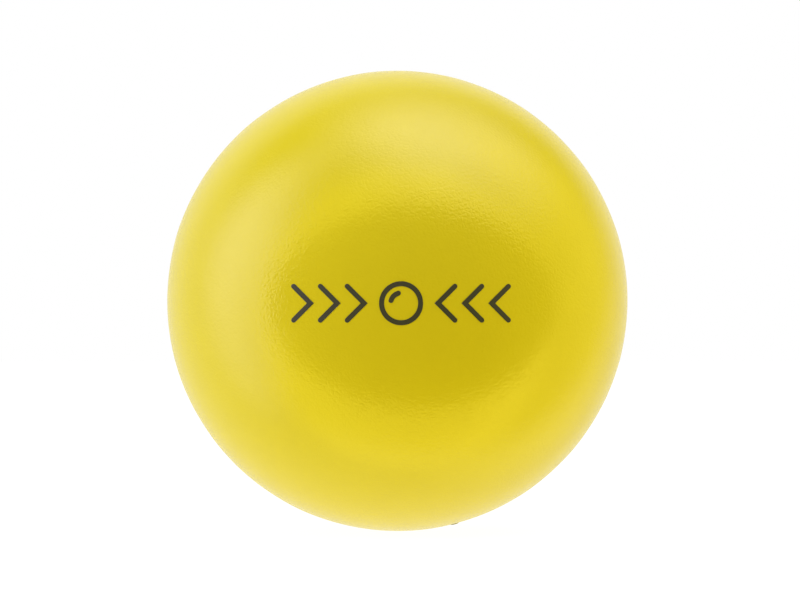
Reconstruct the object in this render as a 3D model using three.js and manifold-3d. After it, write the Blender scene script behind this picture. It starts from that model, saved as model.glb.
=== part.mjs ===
// A squeeze ball of moulded polyurethane foam, Ø63 mm.
//
// The foam is poured into a mould of two half shells. Against the mould it sets as a thin dense skin, which
// has a front half and a back half, and inside the skin it sets as a light open-celled core. The two half
// skins meet at the mould's parting plane in a low bead, and foam that rose into the mould's vent leaves a
// trimmed nub on that bead. The front half carries a pad-printed pictogram: a ball with arrows closing on it.
//
// Millimetres, +Z up. The origin is the ball's centre, the parting plane is XZ, and the print faces -Y.
import * as THREE from 'three';
import { mergeVertices } from 'three/addons/utils/BufferGeometryUtils.js';
import Module from 'manifold-3d';

// ---- The ball ----
const BALL_RADIUS = 31.5;
const SKIN_THICKNESS = 1.2;
const CORE_GAP = 0.3; // between the skin and the core, which are one pour of foam in the real ball
const TURN_STEPS = 48; // facets round the squeeze axis, Y
const QUARTER_STEPS = 12; // facets from a pole to the parting plane

// ---- The bead on the parting plane ----
const BEAD_WIDTH = 0.5;
const BEAD_PROUD = 0.1; // above the skin
const BEAD_CROWN_STEPS = 6;
const BEAD_GAP = 0.05; // to each half skin

// ---- The nub in the mould's vent ----
const NUB_RADIUS = 0.55;
const NUB_PROUD = 0.2; // above the skin
const NUB_CHAMFER = 0.12;
const NUB_GAP = 0.1; // to the hole round it
const NUB_ANGLE = 14.4; // degrees from the ball's lowest point towards +X
const NUB_SIDES = 20;

// ---- The print ----
const INK_GAP = 0.05; // above the skin
const INK_THICKNESS = 0.15;
const INK_STROKE = 0.65; // width of every line
const INK_CURVE_STEPS = 48; // to a full turn of the ring
const INK_END_STEPS = 8; // round the end of a line
const INK_LINE_STEP = 0.8; // longest straight stretch laid flat on the ball
const PRINT_CENTRE = { x: 0.5, z: -0.3 };
const PRINT_WIDTH = 28.6;
const RING_OUTER_RADIUS = 2.85;
const GLINT_RADIUS = 1.35; // the line's own radius
const GLINT_START = 105; // degrees from +X towards +Z
const GLINT_END = 165;
const CHEVRONS_A_SIDE = 3;
const CHEVRON_REACH = 2.2; // of each arm, both sideways and up or down, along the middle of its line
const CHEVRON_PITCH = 3.5;

// ---- Materials ----
const SKIN_LOOK = { color: 0xe0c51c, roughness: 0.5, metalness: 0 };
const CORE_LOOK = { color: 0xe6d35a, roughness: 0.95, metalness: 0 };
const INK_LOOK = { color: 0x3d3e30, roughness: 0.6, metalness: 0 };

const wasm = await Module();
wasm.setup();

const radians = THREE.MathUtils.degToRad;

// Points of an arc round the origin from one angle to another, in degrees, first and last included.
function arcPoints(radius, from, to, steps) {
  const points = [];
  for (let i = 0; i <= steps; i++) {
    const angle = radians(from + ((to - from) * i) / steps);
    points.push(new THREE.Vector2(radius * Math.cos(angle), radius * Math.sin(angle)));
  }
  return points;
}

// A profile of (distance from Y, height along Y), turned once round Y.
function turned(profile) {
  return new THREE.LatheGeometry(profile, TURN_STEPS);
}

// The core: a half circle from the -Y pole to the +Y pole, turned, with its ends exactly on the axis.
function foamCore() {
  const radius = BALL_RADIUS - SKIN_THICKNESS - CORE_GAP;
  const profile = arcPoints(radius, -90, 90, 2 * QUARTER_STEPS);
  profile[0].x = 0;
  profile.at(-1).x = 0;
  return turned(profile);
}

// One half skin: a bowl whose rim stops short of the bead. side is -1 for the front and +1 for the back.
function halfSkin(side) {
  const rim = BEAD_WIDTH / 2 + BEAD_GAP;
  const wall = (radius) => {
    const rimAngle = THREE.MathUtils.radToDeg(Math.asin(rim / radius));
    const points = arcPoints(radius, 90, rimAngle, QUARTER_STEPS);
    points[0].x = 0;
    return points;
  };
  const outer = wall(BALL_RADIUS);
  const inner = wall(BALL_RADIUS - SKIN_THICKNESS);
  const profile = [...inner, ...outer.reverse()];
  if (side > 0) return turned(profile);
  const mirrored = profile.map((p) => new THREE.Vector2(p.x, -p.y));
  return turned(mirrored.reverse());
}

// The bead: a flat ring whose outer edge is crowned.
function partingBead() {
  const inner = BALL_RADIUS - SKIN_THICKNESS;
  const half = BEAD_WIDTH / 2;
  const profile = [new THREE.Vector2(inner, -half)];
  for (let i = 0; i <= BEAD_CROWN_STEPS; i++) {
    const across = -1 + (2 * i) / BEAD_CROWN_STEPS;
    const crown = BEAD_PROUD * Math.sqrt(1 - across * across);
    profile.push(new THREE.Vector2(BALL_RADIUS + crown, half * across));
  }
  profile.push(new THREE.Vector2(inner, half), profile[0].clone());
  return turned(profile);
}

// A plug along its own Y, from the inside of the skin to its chamfered tip.
function ventNub() {
  const foot = BALL_RADIUS - SKIN_THICKNESS + NUB_GAP;
  const tip = BALL_RADIUS + NUB_PROUD;
  const profile = [
    new THREE.Vector2(0, foot),
    new THREE.Vector2(NUB_RADIUS, foot),
    new THREE.Vector2(NUB_RADIUS, tip - NUB_CHAMFER),
    new THREE.Vector2(NUB_RADIUS - NUB_CHAMFER, tip),
    new THREE.Vector2(0, tip),
  ];
  return new THREE.LatheGeometry(profile, NUB_SIDES);
}

// The hole that the nub stands in, as a cutter through the whole skin.
function nubHole() {
  const through = 2 * SKIN_THICKNESS + CORE_GAP;
  const hole = new THREE.CylinderGeometry(NUB_RADIUS + NUB_GAP, NUB_RADIUS + NUB_GAP, through, NUB_SIDES);
  hole.translate(0, BALL_RADIUS - SKIN_THICKNESS / 2, 0);
  return hole.applyQuaternion(nubTurn());
}

// Turns +Y to the nub's direction, which lies in the parting plane.
function nubTurn() {
  const angle = radians(NUB_ANGLE);
  const outward = new THREE.Vector3(Math.sin(angle), 0, -Math.cos(angle));
  return new THREE.Quaternion().setFromUnitVectors(new THREE.Vector3(0, 1, 0), outward);
}

function toSolid(geometry) {
  const bare = geometry.clone();
  bare.deleteAttribute('normal');
  bare.deleteAttribute('uv');
  const merged = mergeVertices(bare, 1e-4);
  const vertProperties = new Float32Array(merged.attributes.position.array);
  const triVerts = new Uint32Array(merged.index.array);
  return new wasm.Manifold(new wasm.Mesh({ numProp: 3, vertProperties, triVerts }));
}

function toGeometry(solid) {
  const mesh = solid.getMesh();
  const geometry = new THREE.BufferGeometry();
  geometry.setAttribute('position', new THREE.BufferAttribute(mesh.vertProperties, mesh.numProp));
  geometry.setIndex(new THREE.BufferAttribute(mesh.triVerts, 1));
  geometry.computeVertexNormals();
  return geometry;
}

function cut(geometry, cutter) {
  return toGeometry(toSolid(geometry).subtract(toSolid(cutter)));
}

// Lays a flat shape on the front of the ball along Y, as a printing pad does, and gives it the ink's thickness.
function printed(shape) {
  const options = { depth: INK_THICKNESS, bevelEnabled: false, curveSegments: INK_CURVE_STEPS };
  const geometry = new THREE.ExtrudeGeometry(shape, options);
  const position = geometry.attributes.position;
  for (let i = 0; i < position.count; i++) {
    const x = position.getX(i) + PRINT_CENTRE.x;
    const z = position.getY(i) + PRINT_CENTRE.z;
    const radius = BALL_RADIUS + INK_GAP + position.getZ(i);
    position.setXYZ(i, x, -Math.sqrt(radius * radius - x * x - z * z), z);
  }
  geometry.computeVertexNormals();
  return geometry;
}

function ringShape() {
  const shape = new THREE.Shape();
  shape.absarc(0, 0, RING_OUTER_RADIUS, 0, 2 * Math.PI, false);
  const hole = new THREE.Path();
  hole.absarc(0, 0, RING_OUTER_RADIUS - INK_STROKE, 0, 2 * Math.PI, true);
  shape.holes.push(hole);
  return shape;
}

// The outline of a line of the ink's width along a row of points, with round ends.
function strokeShape(points) {
  const half = INK_STROKE / 2;
  const along = (i, j) => new THREE.Vector2().subVectors(points[j], points[i]).normalize();
  const last = points.length - 1;
  const left = [];
  const right = [];
  points.forEach((point, i) => {
    const before = along(Math.max(i - 1, 0), Math.max(i, 1));
    const after = along(Math.min(i, last - 1), Math.min(i + 1, last));
    const middle = before.clone().add(after).normalize();
    const mitre = half / middle.dot(after);
    const aside = new THREE.Vector2(-middle.y, middle.x).multiplyScalar(mitre);
    left.push(point.clone().add(aside));
    right.push(point.clone().sub(aside));
  });
  const roundEnd = (centre, direction) => {
    const start = Math.atan2(direction.y, direction.x) - Math.PI / 2;
    const found = [];
    for (let k = 1; k < INK_END_STEPS; k++) {
      const angle = start + (Math.PI * k) / INK_END_STEPS;
      const offset = new THREE.Vector2(Math.cos(angle), Math.sin(angle)).multiplyScalar(half);
      found.push(centre.clone().add(offset));
    }
    return found;
  };
  const endCap = roundEnd(points[last], along(last - 1, last));
  const startCap = roundEnd(points[0], along(1, 0));
  return new THREE.Shape([...right, ...endCap, ...left.reverse(), ...startCap]);
}

// A short highlight inside the ring.
function glintShape() {
  const length = GLINT_RADIUS * radians(GLINT_END - GLINT_START);
  const steps = Math.ceil((2 * length) / INK_LINE_STEP);
  return strokeShape(arcPoints(GLINT_RADIUS, GLINT_START, GLINT_END, steps));
}

// An arrowhead whose tip points at the ring. side is -1 for the left and +1 for the right.
function chevronShape(side, order) {
  const widest = PRINT_WIDTH / 2 - INK_STROKE / 2;
  const tip = widest - CHEVRON_REACH - (CHEVRONS_A_SIDE - 1 - order) * CHEVRON_PITCH;
  const steps = Math.ceil((CHEVRON_REACH * Math.SQRT2) / INK_LINE_STEP);
  const points = [];
  for (let i = -steps; i <= steps; i++) {
    const out = (CHEVRON_REACH * Math.abs(i)) / steps;
    const up = (CHEVRON_REACH * i) / steps;
    points.push(new THREE.Vector2(side * (tip + out), up));
  }
  return strokeShape(points);
}

function piece(name, geometry, material) {
  const mesh = new THREE.Mesh(geometry, material);
  mesh.name = name;
  return mesh;
}

function makeCore(coreMaterial, skinMaterial, hole) {
  const core = new THREE.Group();
  core.name = 'core';
  core.add(piece('foam_core', foamCore(), coreMaterial));
  core.add(piece('parting_bead', cut(partingBead(), hole), skinMaterial));
  const nub = piece('vent_nub', ventNub(), skinMaterial);
  nub.quaternion.copy(nubTurn());
  core.add(nub);
  return core;
}

function makeFront(skinMaterial, inkMaterial, hole) {
  const front = new THREE.Group();
  front.name = 'front_half';
  front.add(piece('front_skin', cut(halfSkin(-1), hole), skinMaterial));
  front.add(piece('ink_ring', printed(ringShape()), inkMaterial));
  front.add(piece('ink_glint', printed(glintShape()), inkMaterial));
  for (const [label, side] of [['left', -1], ['right', 1]]) {
    for (let order = 0; order < CHEVRONS_A_SIDE; order++) {
      const name = `ink_${label}_chevron_${order + 1}`;
      front.add(piece(name, printed(chevronShape(side, order)), inkMaterial));
    }
  }
  return front;
}

function makeBack(skinMaterial, hole) {
  const back = new THREE.Group();
  back.name = 'back_half';
  back.add(piece('back_skin', cut(halfSkin(1), hole), skinMaterial));
  return back;
}

function makeBall() {
  const skinMaterial = new THREE.MeshStandardMaterial(SKIN_LOOK);
  const coreMaterial = new THREE.MeshStandardMaterial(CORE_LOOK);
  const inkMaterial = new THREE.MeshStandardMaterial(INK_LOOK);
  const hole = nubHole();
  const ball = new THREE.Group();
  ball.add(makeCore(coreMaterial, skinMaterial, hole));
  ball.add(makeFront(skinMaterial, inkMaterial, hole));
  ball.add(makeBack(skinMaterial, hole));
  return ball;
}

export default makeBall();
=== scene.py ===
"""The looks of a foam stress ball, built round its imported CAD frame.

Every CAD node is replaced by a finer piece of the same size: two half skins with a moulded pebble grain, the
parting bead between them, the trimmed vent nub, the pitted foam core inside and the pad-printed ink.
Lengths are in metres in the row frame: the ball's centre is the origin, +Z is up and the print faces -Y.
"""
import math

import bmesh
import bpy
import numpy as np
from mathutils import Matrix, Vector, noise


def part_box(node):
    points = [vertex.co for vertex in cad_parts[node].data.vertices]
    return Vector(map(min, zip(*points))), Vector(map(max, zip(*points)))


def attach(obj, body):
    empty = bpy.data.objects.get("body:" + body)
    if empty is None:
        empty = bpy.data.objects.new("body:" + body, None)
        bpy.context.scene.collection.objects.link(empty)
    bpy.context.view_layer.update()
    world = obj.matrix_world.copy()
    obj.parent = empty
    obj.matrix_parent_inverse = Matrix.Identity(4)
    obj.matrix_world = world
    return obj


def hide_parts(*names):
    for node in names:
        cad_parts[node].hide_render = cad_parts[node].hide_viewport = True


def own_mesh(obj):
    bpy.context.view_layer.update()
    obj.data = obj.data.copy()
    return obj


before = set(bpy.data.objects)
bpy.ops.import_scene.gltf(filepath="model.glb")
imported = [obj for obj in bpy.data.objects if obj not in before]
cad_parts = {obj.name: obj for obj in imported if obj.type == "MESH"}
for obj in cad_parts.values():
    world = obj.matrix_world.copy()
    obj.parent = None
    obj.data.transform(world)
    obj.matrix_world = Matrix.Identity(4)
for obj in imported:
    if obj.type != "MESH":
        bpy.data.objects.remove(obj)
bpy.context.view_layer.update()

MM = 0.001

# ---- Sizes read from the frame ----
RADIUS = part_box("back_skin")[1].y
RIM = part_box("back_skin")[0].y  # the half skins' rims stand this far from the parting plane
CORE_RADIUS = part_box("foam_core")[1].y
BEAD_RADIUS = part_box("parting_bead")[1].z
SKIN_INSIDE = CORE_RADIUS + 0.3 * MM

# ---- The skin's shape ----
PEBBLE_SIZE = 0.85 * MM
PEBBLE_DEPTH = 0.010 * MM
PEBBLE_EDGE = 0.45  # width of the valley between two pebbles, as a share of their size
SWELL_SIZE = 6.0 * MM
SWELL_DEPTH = 0.012 * MM
OUTSIDE_STEPS = 290  # squares along each side of a half skin's outer grid
INSIDE_SHARE = 5  # outer rim squares to one inner rim square
SHOULDER_DROP = 0.05 * MM
SHOULDER_WIDTH = 0.22 * MM
SHOULDER_LOOPS = 2

# ---- The bead and the nub ----
BEAD_STEPS = 1440
BEAD_HALF = RIM - 0.01 * MM
BEAD_CROWN_STEPS = 8
BEAD_LOWEST = 0.02 * MM  # the crown above the skin where the bead is faintest
BEAD_WAVES = 5.0  # how quickly the crown's height changes round the ball
NUB_RADIUS = 0.55 * MM
NUB_FOOT_RADIUS = 0.24 * MM
NUB_PROUD = 0.11 * MM  # how far its trimmed top stands above the skin
NUB_ROUGHNESS = 0.03 * MM
NUB_TEAR_SIZE = 0.3 * MM  # of the bumps on its trimmed end
NUB_SIDES = 40
NOTCH_RADIUS = NUB_RADIUS + 0.04 * MM
NOTCH_REACH = 1.2 * MM  # how far from the nub's axis the half skins give way to it

# ---- The core ----
CORE_SUBDIVISIONS = 7
CORE_CELL = 1.7 * MM
CORE_PIT = 0.2 * MM
CORE_PIT_REACH = 0.55  # a pit's radius, as a share of a cell

# ---- The print ----
INK_FILM = 0.035 * MM  # above the skin
INK_SINK = 0.01 * MM  # below the skin, so that the film never lifts off
INK_MESH_STEP = 0.25 * MM

# ---- Meshes ----
SHARP_EDGE = 40  # degrees; an edge that turns further stays sharp
WELD_DISTANCE = 0.001 * MM
CUT_TOLERANCE = 1e-7

# ---- Materials, linear colour ----
SKIN_COLOUR = (0.745, 0.66, 0.02)
SKIN_SHADE = (0.73, 0.645, 0.02)
SKIN_GLOSS = (1.0, 0.97, 0.40)  # the tint of its highlights
SKIN_SPECULAR = 0.9
SKIN_ROUGHNESS = 0.16
GLOSS_SPREAD = 0.03  # how far the roughness strays on either side, from place to place
COLOUR_PATCH = 5.0  # mm, the size of its slightly lighter and darker patches
GLOSS_PATCH = 2.5  # mm
# a dark olive over the whole nub, much darker than the skin
NUB_COLOUR = (0.34, 0.30, 0.04)
NUB_CUT_ROUGHNESS = 0.75
NUB_TEAR = {"Scale": 7.0, "Detail": 5.0, "Roughness": 0.7}
NUB_TEAR_DEPTH = 0.04 * MM
CORE_COLOUR = (0.80, 0.66, 0.12)
CORE_ROUGHNESS = 0.95
CORE_CELLS = 1.6  # to a millimetre
CORE_CELL_DEPTH = 0.25 * MM
INK_COLOUR = (0.038, 0.043, 0.054)
INK_ROUGHNESS = 0.55
INK_ROUGHNESS_LOW = 0.5
INK_ROUGHNESS_HIGH = 0.62
INK_PATCH = 0.8  # mm
INK_GRAIN_DEPTH = 0.008 * MM
PATCH_DETAIL = 4.0
PATCH_NOISE_LOW = 0.3  # nearly all of the patches' noise lies between these two
PATCH_NOISE_HIGH = 0.7

# ---- The leather grain, made by the materials and finer than the pebbles ----
GRAIN_DEPTH = 0.010 * MM
GRAIN_CELLS = 1.7  # creased cells to a millimetre
GRAIN_CREASE = 0.3  # how wide a crease is, as a share of a cell
GRAIN_WANDER = 0.6  # how far the cells are pulled out of shape, in millimetres
GRAIN_WANDER_SCALE = 1.1  # of the noise that pulls them
GRAIN_WANDER_DETAIL = 2.0
GRAIN_LUMPS = 2.7  # soft lumps to a millimetre
GRAIN_LUMP_SHARE = 1.1  # their height against the cells' height

# ---- Camera ----
LENS = 180.0  # mm
SENSOR = 36.0  # mm
BALL_SHARE = 0.5752  # the ball's width in the picture's width
CAMERA_ASIDE = 0.36 * MM
CAMERA_UP = 0.12 * MM

# ---- Light ----
# Soft elliptical panels round the ball. Azimuth 0 is the camera's side and 90 is +X; the half width and half
# height are in degrees as seen from the ball.
COOL_LIGHT = (1.0, 1.0, 1.6)  # the softboxes above and on the left
WARM_LIGHT = (1.0, 0.85, 0.2)  # light that has bounced off the yellow ball and its surroundings
PLAIN_LIGHT = (1.0, 1.0, 1.0)
AMBIENT_STRENGTH = 0.34
PANEL_SOFTNESS = 0.27  # how gradually a panel's edge fades
PANELS = {
    "overhead": {"aim": (85, 75), "half": (30, 35), "strength": 1.0, "tint": COOL_LIGHT},
    "overhead_core": {"aim": (70, 80), "half": (15, 20), "strength": 0.9, "tint": COOL_LIGHT},
    "left": {"aim": (-85, 10), "half": (20, 45), "strength": 1.3, "tint": COOL_LIGHT},
    "left_core": {"aim": (-90, 20), "half": (20, 20), "strength": 0.5, "tint": COOL_LIGHT},
    "fill": {"aim": (5, -10), "half": (75, 80), "strength": 1.65, "tint": WARM_LIGHT},
    "right": {"aim": (100, -5), "half": (30, 70), "strength": 0.95, "tint": WARM_LIGHT},
    "behind": {"aim": (195, -25), "half": (65, 75), "strength": 0.6, "tint": PLAIN_LIGHT},
}
SHADE = {"aim": (9, -3), "half": (75, 51), "softness": 0.03}  # the dark room on the camera's side
SHADE_DEPTH = 0.8  # share of the light that the dark side takes away
FLOOR_SIZE = 1.5  # m
FLOOR_SIDES = 96
FLOOR_GLOW = 0.97
FLOOR_WHITE = 0.12


# ---------------------------------------------------------------- surfaces


def pebble(direction):
    """Height of the moulded grain under a unit vector, from -1 in a valley to 0 on top of a pebble."""
    near, second = noise.voronoi(direction * (RADIUS / PEBBLE_SIZE))[0][:2]
    edge = min(1.0, (second - near) / PEBBLE_EDGE)
    return -((1 - edge) ** 2)


def swell(direction):
    """The slight unevenness of moulded foam, from -1 to 1."""
    return noise.noise(direction * (RADIUS / SWELL_SIZE), noise_basis="PERLIN_NEW")


def skin_radius(direction):
    """Distance from the centre to the skin, always within the ball's nominal radius."""
    low = 0.5 * (swell(direction) - 1) * SWELL_DEPTH
    return RADIUS + low + pebble(direction) * PEBBLE_DEPTH


def nub_axis():
    """The direction from the ball's centre through the middle of the vent nub."""
    total = Vector()
    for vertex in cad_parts["vent_nub"].data.vertices:
        total += vertex.co
    return Vector((total.x, 0, total.z)).normalized()


NUB_AXIS = nub_axis()


def clear_of_nub(point):
    """Moves a point away from the nub's axis, so that the half skins leave a notch round it."""
    aside = point - point.dot(NUB_AXIS) * NUB_AXIS
    distance = aside.length
    if point.dot(NUB_AXIS) < 0 or distance >= NOTCH_REACH:
        return point
    share = (distance - RIM) / (NOTCH_REACH - RIM)
    wanted = NOTCH_RADIUS + share * (NOTCH_REACH - NOTCH_RADIUS)
    return point + aside * (wanted / distance - 1)


# ---------------------------------------------------------------- mesh helpers


def disc_from_square(u, v):
    """A point of the square from -1 to 1, moved to the unit disc with areas kept."""
    if u == 0 and v == 0:
        return 0.0, 0.0
    if abs(u) > abs(v):
        reach, angle = u, math.pi / 4 * v / u
    else:
        reach, angle = v, math.pi / 2 - math.pi / 4 * u / v
    return reach * math.cos(angle), reach * math.sin(angle)


def half_direction(side, u, v, rim_height):
    """A unit vector over one half of a ball of radius 1, whose rim is rim_height from the parting plane."""
    x, z = disc_from_square(u, v)
    share = x * x + z * z
    height = 1 - share * (1 - rim_height)
    if share == 0:
        return Vector((0, side, 0))
    spread = math.sqrt((1 - height * height) / share)
    return Vector((x * spread, side * height, z * spread))


def add_shell(points, faces, side, steps, rim_height, radius_at):
    """Adds a grid over one half of a ball, and returns the point numbers round its rim in order."""
    first = len(points)
    row = steps + 1
    for i in range(row):
        for j in range(row):
            direction = half_direction(side, 2 * i / steps - 1, 2 * j / steps - 1, rim_height)
            points.append(clear_of_nub(direction * radius_at(direction)))
    for i in range(steps):
        for j in range(steps):
            corner = first + i * row + j
            faces.append((corner, corner + 1, corner + row + 1, corner + row))
    rim = [(i, 0) for i in range(steps)]
    rim += [(steps, j) for j in range(steps)]
    rim += [(i, steps) for i in range(steps, 0, -1)]
    rim += [(0, j) for j in range(steps, 0, -1)]
    return [first + i * row + j for i, j in rim]


def bridge(faces, ring, other):
    """Joins two closed rings of the same length with squares."""
    for k in range(len(ring)):
        after = (k + 1) % len(ring)
        faces.append((ring[k], ring[after], other[after], other[k]))


def new_mesh(name, points, faces):
    """A smooth mesh with its faces outward."""
    mesh = bpy.data.meshes.new(name)
    mesh.from_pydata(points, [], faces)
    return finished(mesh)


def finished(mesh):
    """Turns every face outward, smooths all but the sharp edges, and stores each point's place at rest."""
    shape = bmesh.new()
    shape.from_mesh(mesh)
    bmesh.ops.recalc_face_normals(shape, faces=shape.faces)
    shape.to_mesh(mesh)
    shape.free()
    mesh.shade_smooth()
    mesh.set_sharp_from_angle(angle=math.radians(SHARP_EDGE))
    places = np.empty(3 * len(mesh.vertices), np.float32)
    mesh.vertices.foreach_get("co", places)
    mesh.attributes.new("rest", "FLOAT_VECTOR", "POINT").data.foreach_set("vector", places)
    return mesh


def add_piece(name, mesh, material, cad_node, body):
    """Puts a mesh in the scene in place of a CAD node."""
    mesh.materials.clear()
    mesh.materials.append(material)
    piece = bpy.data.objects.new(name, mesh)
    bpy.context.scene.collection.objects.link(piece)
    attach(piece, body)
    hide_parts(cad_node)
    return piece


# ---------------------------------------------------------------- pieces


def half_skin_mesh(side):
    """One half of the skin: a grained bowl with a rounded shoulder, a flat rim and a smooth inside."""
    points = []
    faces = []
    top = (RIM + SHOULDER_WIDTH) / RADIUS
    ring = add_shell(points, faces, side, OUTSIDE_STEPS, top, skin_radius)
    for loop in range(1, SHOULDER_LOOPS + 1):
        ring = add_shoulder(points, faces, side, ring, math.pi / 2 * loop / SHOULDER_LOOPS)
    inside_steps = OUTSIDE_STEPS // INSIDE_SHARE
    inside = add_shell(points, faces, side, inside_steps, RIM / SKIN_INSIDE, lambda direction: SKIN_INSIDE)
    for k, corner in enumerate(inside):
        after = inside[(k + 1) % len(inside)]
        outer = [ring[(INSIDE_SHARE * k + i) % len(ring)] for i in range(INSIDE_SHARE + 1)]
        faces.append((*outer, after, corner))
    return new_mesh("half_skin", points, faces)


def add_shoulder(points, faces, side, ring, turn):
    """Adds one loop of the rounded edge, turn radians round it, and returns its point numbers."""
    height = RIM + SHOULDER_WIDTH * (1 - math.sin(turn))
    drop = SHOULDER_DROP * (1 - math.cos(turn))
    first = len(points)
    for number in ring:
        around = Vector((points[number].x, 0, points[number].z)).normalized()
        direction = (around * RADIUS + Vector((0, side * height, 0))).normalized()
        reach = math.sqrt(skin_radius(direction) ** 2 - height**2) - drop
        points.append(clear_of_nub(around * reach + Vector((0, side * height, 0))))
    loop = list(range(first, len(points)))
    bridge(faces, ring, loop)
    return loop


def bead_mesh():
    """The bead: a crowned strip round the parting plane, with an opening for the nub."""
    opening = NOTCH_RADIUS / RADIUS
    start = math.atan2(NUB_AXIS.z, NUB_AXIS.x) + opening
    points = []
    faces = []
    for step in range(BEAD_STEPS + 1):
        angle = start + (2 * math.pi - 2 * opening) * step / BEAD_STEPS
        points += bead_section(Vector((math.cos(angle), 0, math.sin(angle))))
    size = len(points) // (BEAD_STEPS + 1)
    for step in range(BEAD_STEPS):
        here = list(range(step * size, (step + 1) * size))
        bridge(faces, here, [number + size for number in here])
    faces.append(tuple(range(size)))
    faces.append(tuple(range(BEAD_STEPS * size, (BEAD_STEPS + 1) * size)))
    return new_mesh("bead", points, faces)


def bead_section(around):
    """The bead's outline where it crosses one direction of the parting plane."""
    share = 0.5 + 0.5 * noise.noise(around * BEAD_WAVES, noise_basis="PERLIN_NEW")
    crown = BEAD_LOWEST + (BEAD_RADIUS - RADIUS - BEAD_LOWEST) * share
    edge = RADIUS - SHOULDER_DROP
    outline = [around * SKIN_INSIDE + Vector((0, -BEAD_HALF, 0))]
    for step in range(BEAD_CROWN_STEPS + 1):
        across = -1 + 2 * step / BEAD_CROWN_STEPS
        height = edge + (SHOULDER_DROP + crown) * math.sqrt(1 - across * across)
        outline.append(around * height + Vector((0, BEAD_HALF * across, 0)))
    outline.append(around * SKIN_INSIDE + Vector((0, BEAD_HALF, 0)))
    return outline


def nub_mesh():
    """The stub left in the mould's vent: a tapered plug whose trimmed end is torn and uneven."""
    profile = [
        (CORE_RADIUS + 0.45 * MM, NUB_FOOT_RADIUS, 0.0),
        (RADIUS - 0.25 * MM, 0.92 * NUB_RADIUS, 0.0),
        (RADIUS, 0.98 * NUB_RADIUS, 0.3),
        (RADIUS + 0.7 * NUB_PROUD, NUB_RADIUS, 0.6),
        (RADIUS + NUB_PROUD, 0.88 * NUB_RADIUS, 1.0),
        (RADIUS + NUB_PROUD, 0.66 * NUB_RADIUS, 1.0),
        (RADIUS + 0.85 * NUB_PROUD, 0.40 * NUB_RADIUS, 1.0),
        (RADIUS + NUB_PROUD, 0.16 * NUB_RADIUS, 1.0),
    ]
    across = Vector((0, 1, 0))
    along = NUB_AXIS.cross(across)
    points = []
    faces = []
    for height, radius, tear in profile:
        for k in range(NUB_SIDES):
            angle = 2 * math.pi * k / NUB_SIDES
            point = NUB_AXIS * height + (across * math.cos(angle) + along * math.sin(angle)) * radius
            bump = noise.noise(point / NUB_TEAR_SIZE, noise_basis="PERLIN_NEW")
            points.append(point + NUB_AXIS * (bump * tear * NUB_ROUGHNESS))
    rings = [list(range(k, k + NUB_SIDES)) for k in range(0, len(points), NUB_SIDES)]
    for ring, after in zip(rings, rings[1:]):
        bridge(faces, ring, after)
    faces.append(tuple(rings[0]))
    faces.append(tuple(rings[-1]))
    return new_mesh("nub", points, faces)


def core_mesh():
    """The open-celled core: a ball pitted all over."""
    shape = bmesh.new()
    bmesh.ops.create_icosphere(shape, subdivisions=CORE_SUBDIVISIONS, radius=CORE_RADIUS)
    for vertex in shape.verts:
        near = noise.voronoi(vertex.co / CORE_CELL)[0][0]
        vertex.co *= 1 - CORE_PIT / CORE_RADIUS * max(0.0, 1 - (near / CORE_PIT_REACH) ** 2)
    mesh = bpy.data.meshes.new("core")
    shape.to_mesh(mesh)
    shape.free()
    return finished(mesh)


def ink_mesh(cad_node):
    """One island of ink: the CAD outline, cut finer and laid on the grain as a thin film."""
    shape = bmesh.new()
    shape.from_mesh(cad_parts[cad_node].data)
    bmesh.ops.remove_doubles(shape, verts=shape.verts, dist=WELD_DISTANCE)
    low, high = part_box(cad_node)
    slice_along(shape, Vector((1, 0, 0)), low.x, high.x)
    slice_along(shape, Vector((0, 0, 1)), low.z, high.z)
    reaches = [vertex.co.length for vertex in shape.verts]
    middle = (min(reaches) + max(reaches)) / 2
    for vertex in shape.verts:
        lift = INK_FILM if vertex.co.length > middle else -INK_SINK
        reach = skin_radius(vertex.co.normalized()) + lift
        vertex.co.y = -math.sqrt(reach**2 - vertex.co.x**2 - vertex.co.z**2)
    mesh = bpy.data.meshes.new(cad_node)
    shape.to_mesh(mesh)
    shape.free()
    return finished(mesh)


def slice_along(shape, normal, low, high):
    """Cuts a mesh by evenly spaced planes across one axis."""
    count = int((high - low) / INK_MESH_STEP)
    for k in range(1, count + 1):
        geometry = shape.verts[:] + shape.edges[:] + shape.faces[:]
        place = normal * (low + (high - low) * k / (count + 1))
        bmesh.ops.bisect_plane(shape, geom=geometry, dist=CUT_TOLERANCE, plane_co=place, plane_no=normal)


# ---------------------------------------------------------------- nodes and materials


def add_node(tree, kind, inputs=None, **settings):
    """Adds a shader node. inputs are socket names or numbers with a value or another node's output."""
    made = tree.nodes.new("ShaderNode" + kind)
    for name, value in settings.items():
        setattr(made, name, value)
    for socket, value in (inputs or {}).items():
        if isinstance(value, bpy.types.NodeSocket):
            tree.links.new(value, made.inputs[socket])
        else:
            made.inputs[socket].default_value = value
    return made


def new_material(name, base, roughness):
    """A material with a Principled shader, and the tree and shader to build on."""
    material = bpy.data.materials.new(name)
    material.use_nodes = True
    material.diffuse_color = (*base, 1)
    tree = material.node_tree
    shader = tree.nodes["Principled BSDF"]
    shader.inputs["Base Color"].default_value = (*base, 1)
    shader.inputs["Roughness"].default_value = roughness
    return material, tree, shader


def rest_place(tree):
    """Each point's place at rest, in millimetres, so that the grain stays put when the ball is squeezed."""
    attribute = add_node(tree, "Attribute", attribute_name="rest", attribute_type="GEOMETRY")
    place = attribute.outputs["Vector"]
    scaled = add_node(tree, "VectorMath", {0: place, "Scale": 1 / MM}, operation="SCALE")
    return scaled.outputs["Vector"]


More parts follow.
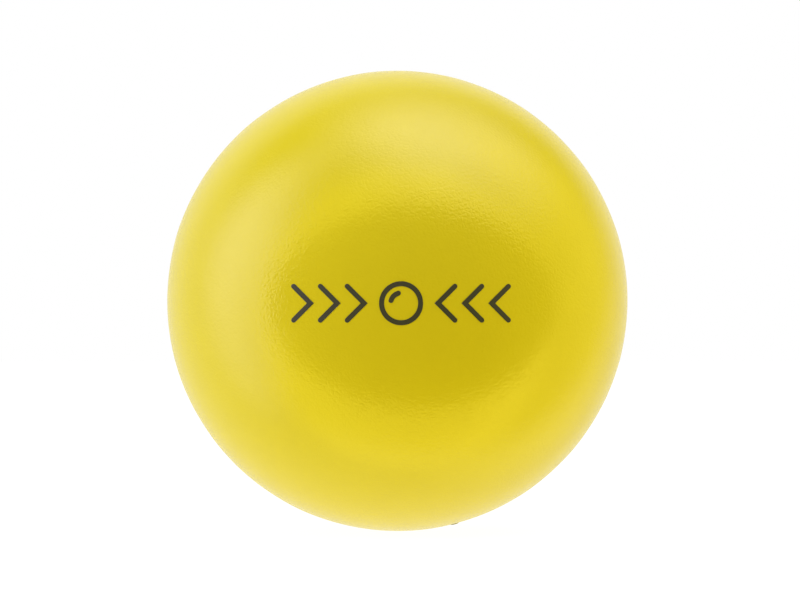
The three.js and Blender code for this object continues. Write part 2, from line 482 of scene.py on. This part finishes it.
def grain_height(tree, place):
    """The fine leather grain, from 0 to about 2: small cells with creases between them and soft lumps."""
    wander = add_node(
        tree,
        "TexNoise",
        {"Vector": place, "Scale": GRAIN_WANDER_SCALE, "Detail": GRAIN_WANDER_DETAIL},
    )
    shifted = add_node(
        tree,
        "VectorMath",
        {0: wander.outputs["Color"], 1: (GRAIN_WANDER,) * 3, 2: place},
        operation="MULTIPLY_ADD",
    )
    cells = add_node(
        tree,
        "TexVoronoi",
        {"Vector": shifted.outputs["Vector"], "Scale": GRAIN_CELLS},
        feature="DISTANCE_TO_EDGE",
    )
    rounded = add_node(
        tree,
        "MapRange",
        {"Value": cells.outputs["Distance"], "From Max": GRAIN_CREASE},
        interpolation_type="SMOOTHSTEP",
    )
    lumps = add_node(tree, "TexNoise", {"Vector": place, "Scale": GRAIN_LUMPS, "Detail": 0.0})
    height = add_node(
        tree,
        "Math",
        {0: lumps.outputs["Fac"], 1: GRAIN_LUMP_SHARE, 2: rounded.outputs["Result"]},
        operation="MULTIPLY_ADD",
    )
    return height.outputs["Value"]


def set_bump(tree, shader, height, depth):
    """Gives a shader a bump of the given depth in metres."""
    bump = add_node(tree, "Bump", {"Height": height, "Distance": depth})
    tree.links.new(bump.outputs["Normal"], shader.inputs["Normal"])


def mottle(tree, place, size_mm, low, high):
    """A slowly varying value between low and high."""
    clouds = add_node(tree, "TexNoise", {"Vector": place, "Scale": 1 / size_mm, "Detail": PATCH_DETAIL})
    spread = add_node(
        tree,
        "MapRange",
        {
            "Value": clouds.outputs["Fac"],
            "From Min": PATCH_NOISE_LOW,
            "From Max": PATCH_NOISE_HIGH,
            "To Min": low,
            "To Max": high,
        },
    )
    return spread.outputs["Result"]


def skin_material():
    """Yellow polyurethane skin, satin, with a fine pebble grain."""
    material, tree, shader = new_material("skin_yellow", SKIN_COLOUR, SKIN_ROUGHNESS)
    place = rest_place(tree)
    patches = mottle(tree, place, COLOUR_PATCH, 0.0, 1.0)
    colour = add_node(
        tree,
        "Mix",
        {"Factor": patches, "A": (*SKIN_COLOUR, 1), "B": (*SKIN_SHADE, 1)},
        data_type="RGBA",
    )
    tree.links.new(colour.outputs["Result"], shader.inputs["Base Color"])
    gloss = mottle(tree, place, GLOSS_PATCH, SKIN_ROUGHNESS - GLOSS_SPREAD, SKIN_ROUGHNESS + GLOSS_SPREAD)
    tree.links.new(gloss, shader.inputs["Roughness"])
    shader.inputs["Specular IOR Level"].default_value = SKIN_SPECULAR
    shader.inputs["Specular Tint"].default_value = (*SKIN_GLOSS, 1)
    set_bump(tree, shader, grain_height(tree, place), GRAIN_DEPTH)
    return material


def nub_material():
    """The vent's trimmed stub: dark olive all over, much darker and rougher than the skin, with a torn bump.
    """
    material, tree, shader = new_material("vent_cut", NUB_COLOUR, NUB_CUT_ROUGHNESS)
    place = rest_place(tree)
    tear = add_node(tree, "TexNoise", {"Vector": place, **NUB_TEAR})
    set_bump(tree, shader, tear.outputs["Fac"], NUB_TEAR_DEPTH)
    return material


def core_material():
    """Open-celled foam, matt and paler than the skin."""
    material, tree, shader = new_material("core_foam", CORE_COLOUR, CORE_ROUGHNESS)
    place = rest_place(tree)
    cells = add_node(tree, "TexVoronoi", {"Vector": place, "Scale": CORE_CELLS}, feature="SMOOTH_F1")
    set_bump(tree, shader, cells.outputs["Distance"], CORE_CELL_DEPTH)
    return material


def ink_material():
    """Matt dark warm grey pad-printing ink, thin enough for the grain to show through."""
    material, tree, shader = new_material("ink_grey", INK_COLOUR, INK_ROUGHNESS)
    place = rest_place(tree)
    roughness = mottle(tree, place, INK_PATCH, INK_ROUGHNESS_LOW, INK_ROUGHNESS_HIGH)
    tree.links.new(roughness, shader.inputs["Roughness"])
    set_bump(tree, shader, grain_height(tree, place), INK_GRAIN_DEPTH)
    return material


# ---------------------------------------------------------------- the ball


def make_skins(material):
    """Both half skins, each on its own half's body."""
    for side, place in ((-1, "front"), (1, "back")):
        piece = add_piece(
            f"skin_{place}", half_skin_mesh(side), material, f"{place}_skin", f"{place}_half"
        )
        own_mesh(piece)


def make_middle(skin):
    """The bead, the nub and the core, all on the core's body."""
    bead = add_piece("bead", bead_mesh(), skin, "parting_bead", "core")
    nub = add_piece("nub", nub_mesh(), nub_material(), "vent_nub", "core")
    core = add_piece("core", core_mesh(), core_material(), "foam_core", "core")
    for piece in (bead, nub, core):
        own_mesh(piece)


def make_print():
    """Every island of ink, on the front half's body with the front skin."""
    material = ink_material()
    for cad_node in sorted(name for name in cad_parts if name.startswith("ink_")):
        name = cad_node.replace("ink_", "print_")
        piece = add_piece(name, ink_mesh(cad_node), material, cad_node, "front_half")
        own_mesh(piece)


# ---------------------------------------------------------------- the stage


def panel_mask(tree, direction, aim, half, softness):
    """How far each direction lies inside a soft-edged ellipse, from 0 outside to 1 in the middle."""
    azimuth, elevation = (math.radians(angle) for angle in aim)
    wide, high = (math.tan(math.radians(angle)) for angle in half)
    local = add_node(
        tree,
        "Mapping",
        {"Vector": direction, "Rotation": (-elevation, 0, azimuth), "Scale": (wide, 1, high)},
        vector_type="TEXTURE",
    )
    unit = add_node(tree, "VectorMath", {0: local.outputs["Vector"]}, operation="NORMALIZE")
    facing = add_node(tree, "VectorMath", {0: unit.outputs["Vector"], 1: (0, -1, 0)}, operation="DOT_PRODUCT")
    edge = math.cos(math.radians(45))  # where the ellipse's rim lies once it is stretched to a circle
    faded = add_node(
        tree,
        "MapRange",
        {"Value": facing.outputs["Value"], "From Min": edge - softness, "From Max": edge + softness},
        interpolation_type="SMOOTHSTEP",
    )
    return faded.outputs["Result"]


def radiance(strength, tint):
    """A light's colour at its full strength."""
    return tuple(strength * share for share in tint)


def make_light():
    """Soft light from all sides, dark on the camera's side, and a white background."""
    world = bpy.data.worlds.new("studio")
    bpy.context.scene.world = world
    world.use_nodes = True
    tree = world.node_tree
    tree.nodes.clear()
    direction = add_node(tree, "TexCoord").outputs["Generated"]
    total = radiance(AMBIENT_STRENGTH, WARM_LIGHT)
    for panel in PANELS.values():
        mask = panel_mask(tree, direction, panel["aim"], panel["half"], PANEL_SOFTNESS)
        light = radiance(panel["strength"], panel["tint"])
        added = add_node(tree, "VectorMath", {0: mask, 1: light, 2: total}, operation="MULTIPLY_ADD")
        total = added.outputs["Vector"]
    shade = panel_mask(tree, direction, **SHADE)
    kept = add_node(tree, "MapRange", {"Value": shade, "To Min": 1.0, "To Max": 1 - SHADE_DEPTH})
    studio = add_node(tree, "Background", {"Color": total, "Strength": kept.outputs["Result"]})
    white = add_node(tree, "Background", {"Color": (1, 1, 1, 1)})
    seen = add_node(tree, "LightPath").outputs["Is Camera Ray"]
    both = add_node(tree, "MixShader", {0: seen, 1: studio.outputs[0], 2: white.outputs[0]})
    add_node(tree, "OutputWorld", {"Surface": both.outputs[0]})


def make_floor():
    """A white floor that lets the light from below through and takes a faint shadow."""
    mesh = bpy.data.meshes.new("floor")
    shape = bmesh.new()
    bmesh.ops.create_circle(shape, cap_ends=True, segments=FLOOR_SIDES, radius=FLOOR_SIZE)
    shape.to_mesh(mesh)
    shape.free()
    material = bpy.data.materials.new("floor_white")
    material.use_nodes = True
    tree = material.node_tree
    tree.nodes.clear()
    glow = add_node(tree, "Emission", {"Strength": FLOOR_GLOW})
    matt = add_node(tree, "BsdfDiffuse", {"Color": (FLOOR_WHITE, FLOOR_WHITE, FLOOR_WHITE, 1)})
    both = add_node(tree, "AddShader", {0: glow.outputs[0], 1: matt.outputs[0]})
    add_node(tree, "OutputMaterial", {"Surface": both.outputs[0]})
    mesh.materials.append(material)
    floor = bpy.data.objects.new("floor", mesh)
    floor.location.z = -BEAD_RADIUS
    floor.visible_diffuse = False
    floor.visible_glossy = False
    floor.visible_shadow = False
    bpy.context.scene.collection.objects.link(floor)


def make_camera():
    """A long lens level with the ball's centre, straight in front of the print."""
    data = bpy.data.cameras.new("camera")
    data.lens = LENS
    data.sensor_width = SENSOR
    half_angle = math.atan(BALL_SHARE * SENSOR / 2 / LENS)
    camera = bpy.data.objects.new("camera", data)
    camera.location = (CAMERA_ASIDE, -RADIUS / math.sin(half_angle), CAMERA_UP)
    camera.rotation_euler = (math.radians(90), 0, 0)
    bpy.context.scene.collection.objects.link(camera)
    bpy.context.scene.camera = camera


make_camera()
make_light()
make_floor()
skin_yellow = skin_material()
make_skins(skin_yellow)
make_middle(skin_yellow)
make_print()
bpy.context.scene.view_settings.view_transform = "Standard"
